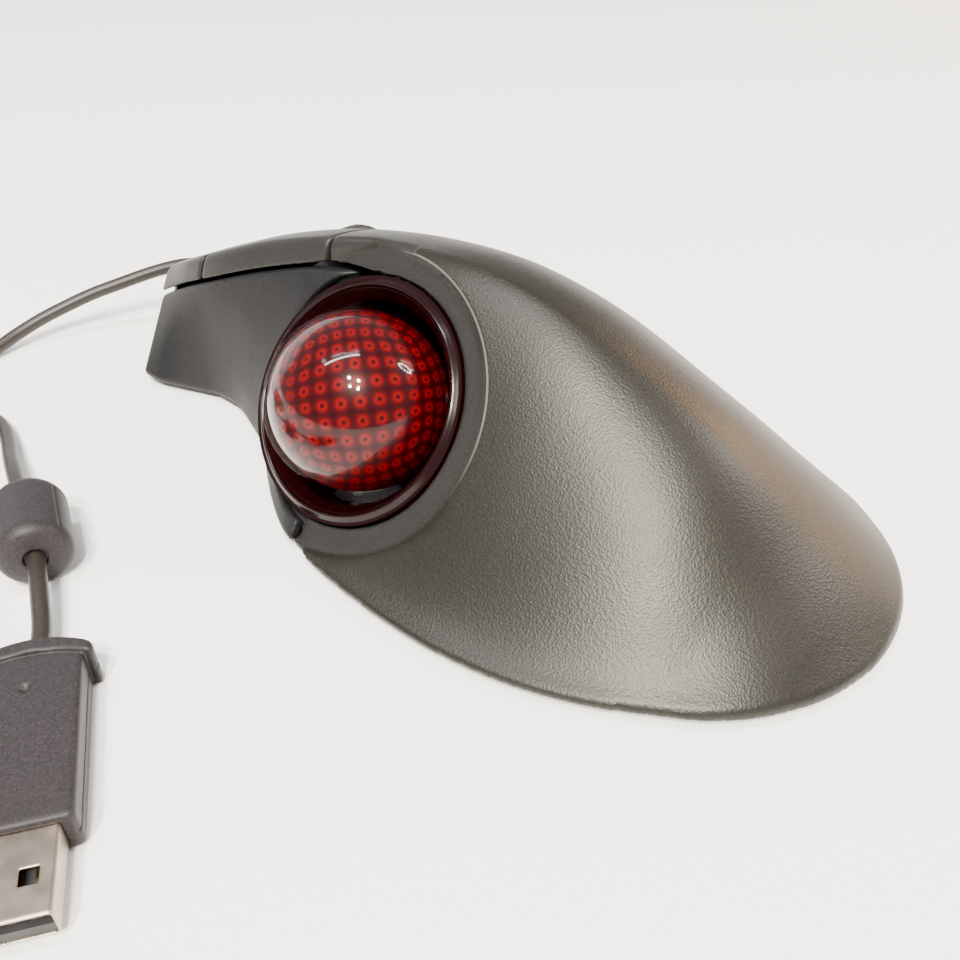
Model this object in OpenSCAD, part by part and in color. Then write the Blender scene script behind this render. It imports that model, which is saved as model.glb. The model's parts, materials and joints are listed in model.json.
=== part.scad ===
// Thumb-operated trackball mouse: ball in a tilted cup on the left, two buttons and a scroll
// wheel on the front, cable with ferrite and a flat plug. Millimetres, +Z up, +Y to the front.
// The origin is on the desk, under the middle of the body.

/* [Body] */
// Thickness of the moulded shells
shell_t = 2.2; // [1.8:0.1:2.6]
// Height of the lower edge of the shells above the desk
shell_foot_z = 1.7; // [1.6:0.1:2]
// Gap between neighbouring shells
seam_gap = 0.5; // [0.4:0.1:0.7]
// Gap between the thumb panel and the strip above it
panel_gap = 0.9; // [0.8:0.1:1.2]

/* [Ball and cup] */
// Diameter of the ball
ball_d = 34; // [33.5:0.1:34]
// How far the cup's axis leans up from level
cup_tilt = 38; // [36:1:40]
// Outer diameter of the cup's rim
cup_rim_d = 44; // [43.6:0.1:44.2]
// Diameter of the flat band around the cup
band_d = 53.2; // [52:0.1:54]
// Diameter of the hole that the ball is pushed out by
release_hole_d = 13; // [12:0.5:14]

/* [Buttons and wheel] */
// Where the buttons start, behind the wheel
button_rear_y = 25.8; // [25.5:0.1:26.5]
// Where the buttons end, behind the nose
button_front_y = 59; // [58.5:0.1:59.5]
// Diameter of the scroll wheel
wheel_d = 23; // [22:0.1:23.4]
// Width of the scroll wheel
wheel_w = 7; // [6:0.1:7.2]

/* [Cable] */
// Diameter of the cable
cord_d = 3; // [2.6:0.1:3]
// Diameter of the ferrite's cover
ferrite_d = 12.6; // [12:0.1:13]
// Length of the ferrite's cover
ferrite_len = 17; // [16:0.5:18]
// Width across the coiled cable, at the middle of its turns
coil_d = 36; // [34:1:36]

/* [Hidden] */
$fn = 48;
eps = 0.01;

// Outline of the body at the desk: [y, x] pairs from the rear to the front.
left_outline = [[-82, -2], [-80, -10], [-75, -20.5], [-60, -34.5], [-45, -41.8], [-30, -45],
    [-15, -45.2], [-4, -44.5], [5, -42.7], [11, -41], [19, -36.8], [27, -31.4], [33, -27],
    [43, -22.3], [52, -19.3], [58, -19.4], [66, -22.2], [72, -24.2], [78, -24.2]];
right_outline = [[-82, 7], [-78, 15], [-66, 29], [-50, 36.5], [-30, 41.3], [-5, 44], [20, 43.5],
    [45, 41], [65, 37], [81, 31]];
// The top skin, as if there were no thumb bay: its left edge, its ridge and the ridge's height.
skin_left = [[-82, -2], [-80, -10], [-75, -20.5], [-60, -34.5], [-45, -41.8], [-30, -45],
    [-10, -45], [10, -42], [30, -36], [50, -28], [81, -22]];
ridge_x = [[-82, 3], [-60, 0], [-40, -3], [-15, -5], [0, -6], [11, -7], [26, -10], [40, -12],
    [58, -14.5], [76, -13], [81, -12]];
ridge_z = [[-82, 3], [-77, 7], [-66, 15], [-50, 27.5], [-35, 35.5], [-20, 42], [-5, 45.2],
    [11, 45], [26, 43.3], [40, 39.6], [58, 32.5], [67, 28.4], [76, 24.2], [81, 22]];
// Each flank falls from the ridge as (1 - t^a)^b, where t runs from the ridge to the edge.
left_a = [[-82, 2], [-60, 1.8], [-40, 1.6], [-17, 1.5], [10, 1.6], [81, 2]];
left_b = [[-82, 1], [-60, 1.3], [-40, 1.5], [-17, 1.6], [10, 1.5], [81, 1]];
right_a = [[-82, 1.9], [-50, 1.7], [-20, 1.7], [10, 1.7], [40, 1.8], [81, 2.2]];
right_b = [[-82, 0.95], [-50, 1], [-20, 0.9], [10, 0.8], [40, 0.8], [81, 0.7]];
skin_edge_z = 3;
rear_y = left_outline[0][0];
front_y = ridge_z[len(ridge_z) - 1][0];
// The strip above the thumb bay: [y, x, z] along its upper crease and its lower edge.
crease = [[8, -8.3, 44.1], [14, -8.8, 44], [26, -11, 43.3], [40, -13.2, 39.8], [58, -16, 32.2],
    [67, -15.6, 28.2], [76, -14.2, 24], [90, -11, 17]];
strip_edge = [[8, -11.2, 40.3], [14, -11.6, 40], [26, -13, 39], [40, -15.2, 35], [58, -17.3, 28],
    [67, -16.6, 24], [76, -15.4, 19.4], [90, -13, 12]];
panel_rear_y = 8.4;
panel_front_y = 77.6;
// The nose is rounded in plan by one large circle.
nose_r = 90;
nose_x = 5;
skin_stations = concat([-82, -81.3, -80.4, -79, -77.5], [for (y = [-75:4:77]) y], [81]);
skin_steps = 12;

ball_r = ball_d / 2;
ball_pos = [-23, 8, 22];
ball_core_r = ball_r - 1.6;
cup_inner_r = ball_r + 1.3;
cup_outer_r = cup_inner_r + 1.9;
rim_s = 2;
bearing_r = 1.1;
sensor_dip = 10;

deck_z = 3.5;
flange_z = 0.9;
board_z = 6;
board_t = 1.6;
board_top = board_z + board_t;
plate_inset = shell_t + 0.8;

case_bosses = [[-29, -38], [22, -50], [34, 12], [-10, -63]];
nose_bosses = [[-6, 69], [26, 67]];
board_bosses = [[12, -10], [27, -10], [27, 38], [-10, 56]];
cup_legs = [[-31, 19], [-31, -3], [-11.5, 8]];
foot_pads = [[-31, -28], [31, -34], [2, -71], [31, 50], [-14, 70]];
boss_r = 3.4;
screw_r = 1.4;
pilot_r = 1.5;

wheel_pos = [8, 38, 24.7];
carrier_y = 23.5;
carrier_z = 20;
switch_y = 50;
left_switch_x = -5;
right_switch_x = 21;
middle_switch_y = 54;
switch_h = 6.5;
plunger_top = board_top + switch_h + 1;

cord_r = cord_d / 2;
exit_pos = [5, 80, 14];
relief_y = front_y - shell_t - 1;
relief_len = 11.2;
// The cable's own route: from the strain relief to the coil, from the coil to the ferrite, and
// from the ferrite to the plug.
lead_route = [[5, 89, 14], [4.4, 92, 13.9], [2.4, 95.5, 13.5], [-1, 98.5, 12.8], [-5, 101.3, 11.8],
    [-10, 104.2, 10.5], [-16, 107.4, 9], [-22, 110, 7.2], [-28, 112, 5.4], [-34, 113, 3.6],
    [-40, 113, 2.1], [-46, 113, 1.5], [-51, 115, 1.5], [-55.5, 118.5, 1.5], [-58.5, 123.5, 1.5]];
coil_pos = [-78, 118];
tail_route = [[-78, 96.5, 1.5], [-71, 96.6, 1.5], [-64, 95.8, 1.5], [-58, 92.6, 1.5],
    [-55, 87, 1.5], [-55.6, 80.5, 1.9], [-58, 74, 2.8], [-60.8, 67.5, 4], [-63.4, 61, 5.3],
    [-65.8, 54.5, 6.1], [-67.3, 48.2, 6.3]];
plug_lead_route = [[-74.7, 32.9, 6.3], [-76.8, 28.8, 6.1], [-79.2, 24.4, 5.4], [-82, 19.6, 4.5],
    [-85.3, 15.1, 4]];
ferrite_pos = [-71, 40.55, 6.3];
ferrite_turn = -116;
plug_pos = [-85.3, 15.1, 4];
plug_turn = -125.2;
plug_t = 8;
collar_len = 5;
overmold_len = 27;
usb_w = 12;
usb_t = 4.5;
usb_len = 12;

// ---- Curves ----

// Smooth value at y on a table of [y, value] rows, by cubic Hermite pieces.
function rise(t, i) = (t[i + 1][1] - t[i][1]) / (t[i + 1][0] - t[i][0]);
function run(t, i) = t[i + 1][0] - t[i][0];
function slope(t, i) =
    i == 0 ? rise(t, 0) :
    i == len(t) - 1 ? rise(t, i - 1) :
    (rise(t, i - 1) * run(t, i) + rise(t, i) * run(t, i - 1)) / (run(t, i - 1) + run(t, i));
function piece(t, y, i = 0) = i >= len(t) - 2 || y < t[i + 1][0] ? i : piece(t, y, i + 1);
function track(t, y) =
    let (c = max(t[0][0], min(t[len(t) - 1][0], y)), i = piece(t, c), h = run(t, i),
         u = (c - t[i][0]) / h, v = 1 - u)
    (1 + 2 * u) * v * v * t[i][1] + u * v * v * h * slope(t, i)
    + u * u * (3 - 2 * u) * t[i + 1][1] - u * u * v * h * slope(t, i + 1);
function column(t, k) = [for (row = t) [row[0], row[k]]];
function crease_at(y) = [track(column(crease, 1), y), track(column(crease, 2), y)];
function edge_at(y) = [track(column(strip_edge, 1), y), track(column(strip_edge, 2), y)];
function foot_at(y) = [track(left_outline, y), skin_edge_z];

// ---- Solids between matching rings of points ----

function band_faces(n, k) =
    [for (i = [0:n - 2], j = [0:k - 1]) let (a = i * k + j, b = i * k + (j + 1) % k)
        each [[a, a + k, b], [b, a + k, b + k]]];
module ring_solid(rings) {
    k = len(rings[0]);
    n = len(rings);
    polyhedron([for (r = rings) each r],
        concat([[for (j = [0:k - 1]) j]], band_faces(n, k),
            [[for (j = [k - 1:-1:0]) (n - 1) * k + j]]), convexity = 6);
}

// ---- The top skin as a solid, shrunk by k on all sides ----

function squeeze(y, k) = rear_y + k + (y - rear_y) * (front_y - rear_y - 2 * k) / (front_y - rear_y);
function flank_z(y, t, k) =
    let (a = track(t < 0 ? left_a : right_a, y), b = track(t < 0 ? left_b : right_b, y),
         low = skin_edge_z - k * 1.1, high = track(ridge_z, y) - k * 1.1)
    low + (high - low) * pow(max(0, 1 - pow(abs(t), a)), b);
function skin_x(y, t, k) =
    let (x0 = track(ridge_x, y), xl = track(skin_left, y) + k, xr = track(right_outline, y) - k)
    x0 + t * (t < 0 ? x0 - xl : xr - x0);
function skin_ring(y, k) = concat(
    [for (i = [-skin_steps:skin_steps]) let (t = sin(90 * i / skin_steps))
        [skin_x(y, t, k), squeeze(y, k), flank_z(y, t, k)]],
    [[skin_x(y, 1, k), squeeze(y, k), k > 0 ? -2 : shell_foot_z],
     [skin_x(y, -1, k), squeeze(y, k), k > 0 ? -2 : shell_foot_z]]);
module skin(k) { ring_solid([for (y = skin_stations) skin_ring(y, k)]); }

// Everything outside the side strip and the wall of the thumb bay, moved in by k.
function bay_ring(y, k) =
    let (f = foot_at(y), e = edge_at(y), c = crease_at(y), up = (80 - c[1]) / (c[1] - e[1]))
    [[-99, y, -9], [-99, y, 80], [c[0] + 0.9 * k + (c[0] - e[0]) * up, y, 80],
     [c[0] + 0.9 * k, y, c[1] - 0.5 * k], [e[0] + k, y, e[1] - 0.3 * k], [f[0] + k, y, f[1]],
     [f[0] + k, y, -9]];
bay_stations = [for (y = [8:2.5:88]) y];
module bay(k) {
    ring_solid([for (y = bay_stations) bay_ring(y == bay_stations[0] ? y - k : y, k)]);
}

// Room for the thumb panel behind the wall of the bay, up to the strip's lower edge.
module panel_room() {
    ring_solid([for (y = bay_stations)
        let (f = foot_at(y), e = edge_at(y), w = shell_t + 1.2)
        [[-99, y, -9], [-99, y, e[1]], [e[0] - 2, y, e[1]], [e[0] + w, y, e[1]],
         [e[0] + w, y, e[1] - 2.5], [f[0] + w, y, f[1]], [f[0] + w, y, -9]]]);
}

module cup_frame() { translate(ball_pos) rotate([0, cup_tilt - 90, 0]) children(); }
module sensor_frame() { translate(ball_pos) rotate([0, 90 + sensor_dip, 0]) children(); }

// The closed outer body, shrunk by k, without the thumb bay and the ring around the cup.
module body_solid(k) {
    difference() {
        intersection() {
            skin(k);
            translate([nose_x, front_y - nose_r, -9]) cylinder(r = nose_r - k, h = 99, $fn = 240);
        }
        bay(k);
        cup_frame() translate([0, 0, rim_s - k]) cylinder(d = band_d + 1.6 * k, h = 60, $fn = 72);
    }
}
module body_shell() {
    difference() {
        body_solid(0);
        body_solid(shell_t);
        cup_frame() translate([0, 0, -12]) cylinder(d = cup_rim_d + 0.7, h = 60, $fn = 72);
    }
}
module slab_y(y0, y1) { translate([-80, y0, -20]) cube([160, y1 - y0, 120]); }
// The lower border of the right button, as the space above (side 1) or below (side -1) it.
module above_right_seam(gap) {
    translate([0, button_rear_y, 22 + gap]) rotate([-12, 0, 0]) translate([12, -9, 0])
        cube([60, 60, 40]);
}
module below_right_seam(gap) {
    translate([0, button_rear_y, 22 - gap]) rotate([-12, 0, 0]) translate([16, -9, -60])
        cube([60, 60, 60]);
}
module wheel_slot() { translate([3.6, button_rear_y - 3, 20]) cube([8.8, 28, 40]); }
module boss(x, y, from_z, top) {
    intersection() {
        difference() {
            translate([x, y, from_z]) cylinder(r = boss_r, h = top - from_z, $fn = 24);
            translate([x, y, from_z - eps]) cylinder(r = pilot_r, h = 8, $fn = 24);
        }
        body_solid(0.8);
    }
}

// ---- Casing ----

module upper_case() {
    color([0.24, 0.23, 0.22])
    resize([0, 0, 0]) {
        difference() {
            body_shell();
            panel_room();
            difference() {
                slab_y(button_rear_y - seam_gap / 2, 120);
                below_right_seam(0.5);
            }
            slab_y(button_front_y + 0.2, 120);
            wheel_slot();
            deck_pocket();
        }
        for (p = case_bosses) boss(p[0], p[1], deck_z + 0.1, 44);
    }
}
module front_nose() {
    color([0.25, 0.24, 0.23])
    resize([0, 0, 0]) {
        difference() {
            intersection() {
                body_shell();
                slab_y(button_front_y + 0.2 + seam_gap, 120);
            }
            panel_room();
            translate(exit_pos) rotate([90, 0, 0]) cylinder(r = 2.6, h = 20, center = true, $fn = 32);
            deck_pocket();
        }
        for (p = nose_bosses) boss(p[0], p[1], deck_z + 0.1, 30);
    }
}
module button_shell() {
    difference() {
        intersection() {
            body_shell();
            slab_y(button_rear_y + seam_gap / 2, button_front_y - seam_gap / 2);
        }
        wheel_slot();
    }
}
module button_post(x) {
    intersection() {
        translate([x - 1.6, switch_y - 2, plunger_top + 0.1]) cube([3.2, 4, 30]);
        body_solid(0.8);
    }
}
module left_button() {
    color([0.25, 0.24, 0.23])
    resize([0, 0, 0]) {
        difference() {
            button_shell();
            panel_room();
            translate([wheel_pos[0] - seam_gap / 2, 0, 0]) cube([80, 90, 80]);
        }
        button_post(left_switch_x);
    }
}
module right_button() {
    color([0.25, 0.24, 0.23])
    resize([0, 0, 0]) {
        intersection() {
            button_shell();
            translate([wheel_pos[0] + seam_gap / 2, 0, 0]) cube([80, 90, 80]);
            union() {
                above_right_seam(0.5);
                translate([0, 0, 20]) cube([14, 90, 60]);
            }
        }
        button_post(right_switch_x);
    }
}
module thumb_panel() {
    color([0.16, 0.16, 0.16])
    resize([0, 0, 0])
    difference() {
        ring_solid([for (i = [0:28])
            let (y = panel_rear_y + (panel_front_y - panel_rear_y) * i / 28, f = foot_at(y),
                 e = edge_at(y), top = e[1] - panel_gap)
            [[f[0], y, shell_foot_z], [f[0], y, f[1]], [e[0] - 0.1, y, top],
             [e[0] + shell_t, y, top - 0.6], [f[0] + shell_t + 0.2, y, f[1]],
             [f[0] + shell_t + 0.2, y, shell_foot_z]]]);
        cup_frame() translate([0, 0, -30]) cylinder(d = cup_rim_d + 2.4, h = 60, $fn = 72);
    }
}
// The body's outline drawn in by k, and by more still round the low rear.
function drawn_in(y, k) = y < 0 ? y * (82 - k) / 82 : y;
function plate_outline(k, more = 0) = concat(
    [for (y = [-82, -80, -77, -72, -66, -58, -48, -36, -24, -12, 0, 8, 15, 22, 29, 36, 43, 50, 58,
        66, 72]) [track(left_outline, y) + k + (y < 4 ? more : 0), drawn_in(y, k + more)]],
    [for (x = [-18, -10, 0, 10, 20, 28])
        [x, front_y - nose_r + sqrt(pow(nose_r - k, 2) - pow(x - nose_x, 2))]],
    [for (y = [70, 58, 44, 30, 14, 0, -14, -28, -42, -54, -64, -71, -76, -80, -82])
        [track(right_outline, y) - k, drawn_in(y, k + more)]]);
deck_more = 3;
module deck_pocket() {
    translate([0, 0, -1]) linear_extrude(deck_z + 1.1) polygon(plate_outline(plate_inset - 0.2, deck_more));
}
module base_plate() {
    color([0.1, 0.1, 0.1])
    difference() {
        union() {
            translate([0, 0, flange_z]) linear_extrude(shell_foot_z - flange_z)
                polygon(plate_outline(1));
            translate([0, 0, flange_z]) linear_extrude(deck_z - flange_z)
                polygon(plate_outline(plate_inset, deck_more));
            for (p = board_bosses)
                translate([p[0], p[1], deck_z - eps]) cylinder(r = 2.6, h = board_z - deck_z + eps);
        }
        translate([ball_pos[0], ball_pos[1], -eps]) cylinder(d = release_hole_d, h = 9);
        translate([ball_pos[0], ball_pos[1], 2.3]) cylinder(r = 8.9, h = 9);
        for (p = concat(case_bosses, nose_bosses, cup_legs)) {
            translate([p[0], p[1], -eps]) cylinder(r = pilot_r + 0.2, h = 9);
            translate([p[0], p[1], -eps]) cylinder(r = 2.8, h = 2.1 + eps);
        }
        for (p = board_bosses) translate([p[0], p[1], deck_z - 1]) cylinder(r = pilot_r, h = 9);
        for (p = foot_pads) translate([p[0], p[1], 0]) cylinder(r = 5.2, h = flange_z + 0.3);
        translate([-8, -48, 0]) cube([26, 20, flange_z + 0.25]);
    }
}
module rubber_feet() {
    color([0.05, 0.05, 0.05])
    for (p = foot_pads) translate([p[0], p[1], 0]) cylinder(r = 5, h = flange_z + 0.3);
}
module rating_plate() {
    color([0.75, 0.75, 0.75]) translate([-7.6, -47.6, flange_z + 0.05]) cube([25.2, 19.2, 0.2]);
}
// A countersunk-free screw: a round head under a plain shank, pointing up.
module screw(x, y, head_z, tip_z) {
    translate([x, y, head_z]) {
        difference() {
            cylinder(r = 2.5, h = 1);
            translate([0, 0, -eps]) cylinder(r = 0.9, h = 0.5, $fn = 6);
        }
        translate([0, 0, 0.8]) cylinder(r = screw_r, h = tip_z - head_z - 0.8);
    }
}
module case_screws() {
    color([0.5, 0.5, 0.52])
    for (p = concat(case_bosses, nose_bosses)) screw(p[0], p[1], 1.1, 10);
}

// ---- Ball, cup and sensor ----

module ball_shell() {
    color([0.55, 0.02, 0.05])
    translate(ball_pos) difference() {
        sphere(r = ball_r);
        sphere(r = ball_core_r + 0.05);
    }
}
module ball_core() { color([0.4, 0.01, 0.03]) translate(ball_pos) sphere(r = ball_core_r); }
module bearing_spots() {
    for (a = [60, 180, 300]) rotate([0, 0, a]) rotate([0, 120, 0])
        translate([0, 0, ball_r + bearing_r + 0.05]) children();
}
module ball_cup() {
    color([0.2, 0.01, 0.02])
    difference() {
        union() {
            intersection() {
                translate(ball_pos) rotate([0, 0, 165]) sphere(r = cup_outer_r);
                cup_frame() translate([0, 0, -14]) cylinder(r = 30, h = 28.5, center = true);
            }
            cup_frame() translate([0, 0, -0.6]) cylinder(d = cup_rim_d, h = rim_s + 0.6);
            sensor_frame() translate([0, 0, ball_r - 2]) cylinder(r = 10, h = 5.5);
            for (p = cup_legs) translate([p[0], p[1], deck_z]) cylinder(r = 2.4, h = 8);
        }
        translate(ball_pos) rotate([0, 0, 165]) sphere(r = cup_inner_r);
        cup_frame() translate([0, 0, -eps])
            cylinder(r1 = cup_inner_r, r2 = cup_inner_r + 1.5, h = rim_s + 2 * eps);
        sensor_frame() cylinder(r = 3.5, h = 40);
        translate([ball_pos[0], ball_pos[1], 0]) cylinder(d = release_hole_d + 2, h = 12);
        cup_frame() bearing_spots() translate([0, 0, -0.6])
            cylinder(r = bearing_r + 0.02, h = 1.76);
        for (p = cup_legs) translate([p[0], p[1], deck_z - eps]) cylinder(r = pilot_r, h = 5);
    }
}
module cup_bearings() { color([0.9, 0.9, 0.88]) cup_frame() bearing_spots() sphere(r = bearing_r); }
module cup_screws() {
    color([0.5, 0.5, 0.52]) for (p = cup_legs) screw(p[0], p[1], 1.1, 7.5);
}
sensor_face = ball_r + 3.5;
module sensor_holder() {
    color([0.08, 0.08, 0.08])
    sensor_frame() difference() {
        translate([-9, -10, sensor_face]) cube([18, 20, 4]);
        translate([-6.3, -8.3, sensor_face - 1]) cube([12.6, 16.6, 6]);
    }
}
module sensor_lens() {
    color([0.8, 0.85, 0.9])
    sensor_frame() union() {
        translate([-6.2, -8.2, sensor_face]) cube([12.4, 16.4, 1.2]);
        translate([0, 0, sensor_face - 0.8]) cylinder(r = 2.4, h = 1.8);
    }
}
module sensor_chip() {
    color([0.05, 0.05, 0.05])
    sensor_frame() translate([-4.5, -6, sensor_face + 1.6]) cube([9, 12, 2.4]);
}
module sensor_led() {
    color([0.8, 0.1, 0.1])
    sensor_frame() for (y = [-7.4, 6.4]) translate([-1, y, sensor_face + 1.4]) cube([2, 1, 2.6]);
}
module sensor_board() {
    color([0.05, 0.3, 0.12])
    sensor_frame() translate([-9, -10, sensor_face + 4]) cube([18, 20, 1.2]);
}

// ---- Scroll wheel ----

module along_x(x) { translate([x, wheel_pos[1], wheel_pos[2]]) rotate([0, 90, 0]) children(); }
hub_r = wheel_d / 2 - 2.6;
module wheel_hub() {
    color([0.12, 0.12, 0.12])
    difference() {
        along_x(wheel_pos[0] - wheel_w / 2 + 0.3) cylinder(r = hub_r, h = wheel_w - 0.6);
        along_x(0) cylinder(r = 1.3, h = 30);
        for (a = [0:60:300]) along_x(0) rotate(a) translate([5.2, 0, 0]) cylinder(r = 1.4, h = 30);
    }
}
module wheel_tyre() {
    color([0.07, 0.07, 0.07])
    difference() {
        along_x(wheel_pos[0] - wheel_w / 2) cylinder(d = wheel_d, h = wheel_w);
        along_x(0) cylinder(r = hub_r, h = 30);
    }
}
module wheel_axle() { color([0.7, 0.7, 0.72]) along_x(-1) cylinder(r = 1.25, h = 14.8); }
module wheel_carrier() {
    color([0.85, 0.85, 0.82])
    difference() {
        union() {
            for (x = [3, 12]) {
                translate([x, carrier_y - 2.5, 17.5]) cube([1, 31, 5]);
                translate([x, wheel_pos[1] - 4, 22]) cube([1, 8, 5]);
            }
            translate([3, carrier_y - 2.5, 17.5]) cube([10, 2, 5]);
            translate([3, 50, 17.5]) cube([10, 6, 2]);
            translate([6.5, middle_switch_y - 1.5, plunger_top + 0.1])
                cube([3, 3, 17.6 - plunger_top]);
        }
        along_x(0) cylinder(r = 1.3, h = 30);
        translate([0, carrier_y, carrier_z]) rotate([0, 90, 0]) cylinder(r = 1.05, h = 30);
    }
}
module wheel_encoder() {
    color([0.2, 0.35, 0.25])
    difference() {
        translate([-3.2, wheel_pos[1] - 5, wheel_pos[2] - 5.5]) cube([6.2, 10, 10.5]);
        along_x(-1.2) cylinder(r = 1.3, h = 9);
    }
}
module carrier_pivot() {
    color([0.7, 0.7, 0.72])
    translate([1, carrier_y, carrier_z]) rotate([0, 90, 0]) cylinder(r = 1, h = 14);
}
module wheel_frame() {
    color([0.12, 0.12, 0.12])
    difference() {
        union() {
            translate([0.8, carrier_y - 3, board_top]) cube([14.4, 6, 2]);
            for (x = [0.8, 13.4]) translate([x, carrier_y - 3, board_top])
                cube([1.8, 6, carrier_z + 2.5 - board_top]);
        }
        translate([0, carrier_y, carrier_z]) rotate([0, 90, 0]) cylinder(r = 1, h = 30);
    }
}

// ---- Circuit board ----

module main_board() {
    color([0.05, 0.3, 0.12])
    difference() {
        translate([0, 0, board_z]) linear_extrude(board_t)
            polygon([[9, -14], [30, -14], [30, 60], [-13, 60], [-15, 38], [-3, 33], [-3, 20.5],
                [9, 20.5]]);
        for (p = board_bosses) translate([p[0], p[1], 0]) cylinder(r = pilot_r + 0.1, h = 20);
    }
}
module board_screws() {
    color([0.5, 0.5, 0.52])
    for (p = board_bosses) translate([p[0], p[1], 0]) {
        translate([0, 0, board_top]) cylinder(r = 2.5, h = 1);
        translate([0, 0, deck_z - 0.8]) cylinder(r = screw_r, h = board_top + 1 - deck_z + 0.8);
    }
}
module microswitch(x, y) {
    difference() {
        translate([x - 6.4, y - 2.9, board_top]) cube([12.8, 5.8, switch_h]);
        translate([x - 1.5, y - 0.7, board_top + switch_h - 2]) cube([3, 1.4, 4]);
    }
}
module plunger(x, y) {
    translate([x - 1.45, y - 0.65, board_top + switch_h - 1.2]) cube([2.9, 1.3, 2.2]);
}
module left_switch() { color([0.1, 0.1, 0.12]) microswitch(left_switch_x, switch_y); }
module left_plunger() { color([0.9, 0.9, 0.85]) plunger(left_switch_x, switch_y); }
module right_switch() { color([0.1, 0.1, 0.12]) microswitch(right_switch_x, switch_y); }
module right_plunger() { color([0.9, 0.9, 0.85]) plunger(right_switch_x, switch_y); }
module middle_switch() { color([0.1, 0.1, 0.12]) microswitch(wheel_pos[0], middle_switch_y); }
module middle_plunger() { color([0.9, 0.9, 0.85]) plunger(wheel_pos[0], middle_switch_y); }
module controller_chip() { color([0.05, 0.05, 0.05]) translate([17, 2, board_top]) cube([10, 13, 2]); }
module crystal() { color([0.8, 0.8, 0.8]) translate([19.8, -9, board_top]) cube([4, 10, 3.4]); }
module capacitors() {
    color([0.15, 0.15, 0.35])
    for (p = [[26, 18.5], [26, 25], [17, -8]]) translate([p[0], p[1], board_top])
        cylinder(r = 2.5, h = 6);
}
module cord_connector() { color([0.9, 0.9, 0.85]) translate([17, 54.2, board_top]) cube([10, 5, 5]); }
module sensor_ribbon() {
    color([0.75, 0.75, 0.72])
    translate([0, 12, 0]) rotate([90, 0, 0]) linear_extrude(8)
        polygon([[1.53, 13.07], [1.35, 12.08], [4.2, 12], [9.4, board_top], [12, board_top],
            [12, board_top + 0.6], [9.8, board_top + 0.6], [4.6, 13]]);
}

// ---- Cable and plug ----

function unit(v) = v / norm(v);
function heading(p, i) = unit(p[min(i + 1, len(p) - 1)] - p[max(i - 1, 0)]);
function tube_ring(p, i, r) =
    let (t = heading(p, i), s = unit(cross([0, 0, 1], t)), u = cross(t, s))
    [for (a = [22.5:45:359]) p[i] + r * (cos(a) * s + sin(a) * u)];
module tube(p, r) { ring_solid([for (i = [0:len(p) - 1]) tube_ring(p, i, r)]); }

module inner_lead() {
    color([0.1, 0.1, 0.1])
    tube([[5, relief_y + 0.5, 14], [5.3, 73.5, 14], [8, 69.3, 13], [13, 66.6, 11.6],
        [18.5, 65, 10.6], [21.6, 62.8, 10.2], [22, 59.2, 10.2]], 1.2);
}
module strain_relief() {
    color([0.12, 0.12, 0.12])
    translate([exit_pos[0], relief_y, exit_pos[2]]) rotate([-90, 0, 0]) difference() {
        union() {
            cylinder(r = 4, h = 1);
            cylinder(r = 2.5, h = 4);
            translate([0, 0, 4]) cylinder(r1 = 2.5, r2 = 1.9, h = relief_len - 4);
        }
        translate([0, 0, -eps]) cylinder(r = cord_r, h = 0.5 + eps);
    }
}
module cord_lead() { color([0.14, 0.13, 0.13]) tube(lead_route, cord_r); }
module cord_tail() { color([0.14, 0.13, 0.13]) tube(tail_route, cord_r); }
module plug_lead() { color([0.14, 0.13, 0.13]) tube(plug_lead_route, cord_r); }
module cord_coil() {
    color([0.14, 0.13, 0.13])
    translate([coil_pos[0], coil_pos[1], 6]) rotate_extrude() translate([coil_d / 2, 0]) circle(r = 6);
}
module cord_tie() {
    color([0.05, 0.05, 0.05])
    translate([coil_pos[0] - coil_d / 2, coil_pos[1], 6.9]) rotate([90, 0, 0]) difference() {
        cylinder(r = 6.9, h = 5, center = true);
        cylinder(r = 6.3, h = 6, center = true);
        translate([0, -7.9, 0]) cube([20, 2, 6], center = true);
    }
}
module ferrite_frame() { translate(ferrite_pos) rotate([0, 90, ferrite_turn]) children(); }
module ferrite_cover() {
    color([0.15, 0.14, 0.14])
    ferrite_frame() difference() {
        union() {
            cylinder(d = ferrite_d, h = ferrite_len - 3, center = true);
            cylinder(d = ferrite_d - 3, h = ferrite_len, center = true);
        }
        cylinder(d = ferrite_d - 2, h = ferrite_len - 4, center = true);
    }
}
module ferrite_core() {
    color([0.2, 0.2, 0.2])
    ferrite_frame() difference() {
        cylinder(d = ferrite_d - 2, h = ferrite_len - 4, center = true);
        cylinder(r = cord_r + 0.5, h = ferrite_len, center = true);
    }
}
module plug_frame() { translate(plug_pos) rotate([0, 0, plug_turn]) children(); }
module plug_overmold() {
    color([0.15, 0.14, 0.14])
    plug_frame() difference() {
        union() {
            translate([0, 0, -plug_t / 2]) linear_extrude(plug_t)
                polygon([[0, -6.6], [1.6, -8.8], [collar_len, -8.8], [collar_len, 8.8], [1.6, 8.8],
                    [0, 6.6]]);
            translate([0, 0, -plug_t / 2]) linear_extrude(plug_t - 0.4)
                polygon([[1, -7.2], [collar_len + overmold_len, -7.9],
                    [collar_len + overmold_len, 7.9], [1, 7.2]]);
        }
        translate([collar_len + overmold_len - 8, -usb_w / 2, -usb_t / 2]) cube([9, usb_w, usb_t]);
    }
}
plug_face = collar_len + overmold_len;
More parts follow.
